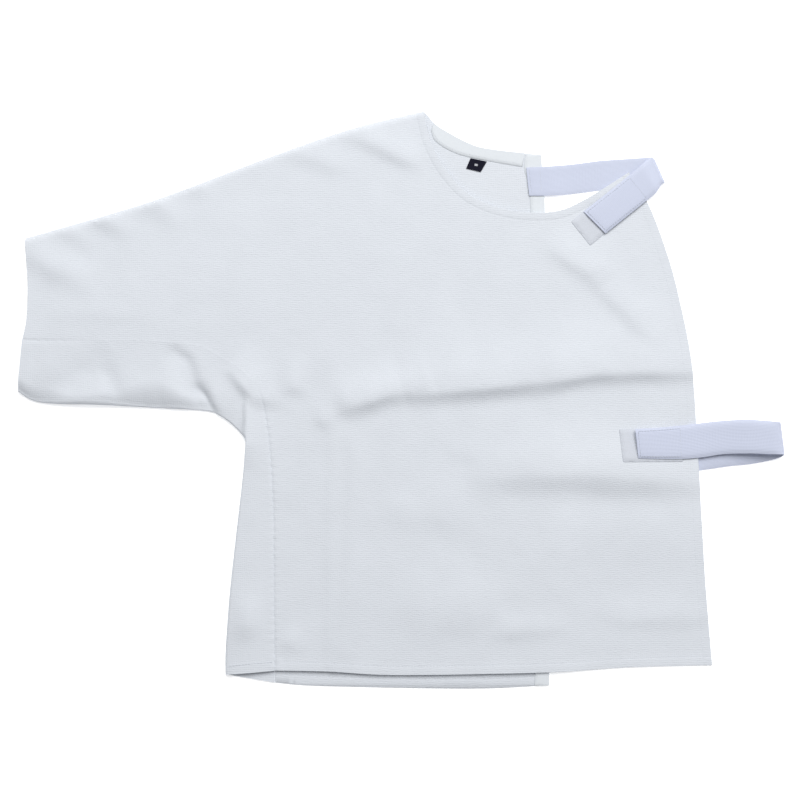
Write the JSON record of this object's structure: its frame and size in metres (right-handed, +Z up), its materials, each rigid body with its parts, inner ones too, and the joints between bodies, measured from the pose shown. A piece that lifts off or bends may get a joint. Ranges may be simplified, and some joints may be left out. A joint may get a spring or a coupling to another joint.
{
  "type": "fencing underarm protector",
  "caption": "Half jacket for fencing, laid flat: broad front, half back, short sleeve with a seamless underarm panel, round neck, elastic straps with hook-and-loop ends.",
  "frame": {"origin": "middle of the laid-out garment, on the surface that it lies on", "axes": "+X towards the free front edge and the straps, +Y towards the neck, +Z up out of the front"},
  "size_m": [0.7641, 0.577, 0.014],
  "materials": {
    "shell_cloth": "matt white woven cloth with fine cross ribs",
    "facing_cloth": "matt white woven cloth, edge stitched",
    "elastic_webbing": "soft white elastic with lengthwise ribs",
    "loop_tape": "white napped loop tape, edge stitched",
    "hook_tape": "white hook tape",
    "label_cloth": "black woven label with one short plain pale bar, no lettering"
  },
  "bodies": {
    "root": {"front_panel": "shell_cloth", "back_panel": "shell_cloth", "underarm_panel": "shell_cloth", "back_neck_facing": "facing_cloth", "back_edge_facing": "facing_cloth", "size_label": "label_cloth", "neck_strap": "elastic_webbing", "neck_loop_patch": "loop_tape", "neck_hook_tab": "hook_tape", "waist_strap": "elastic_webbing", "waist_loop_patch": "loop_tape", "waist_hook_tab": "hook_tape"}
  },
  "joints": []
}
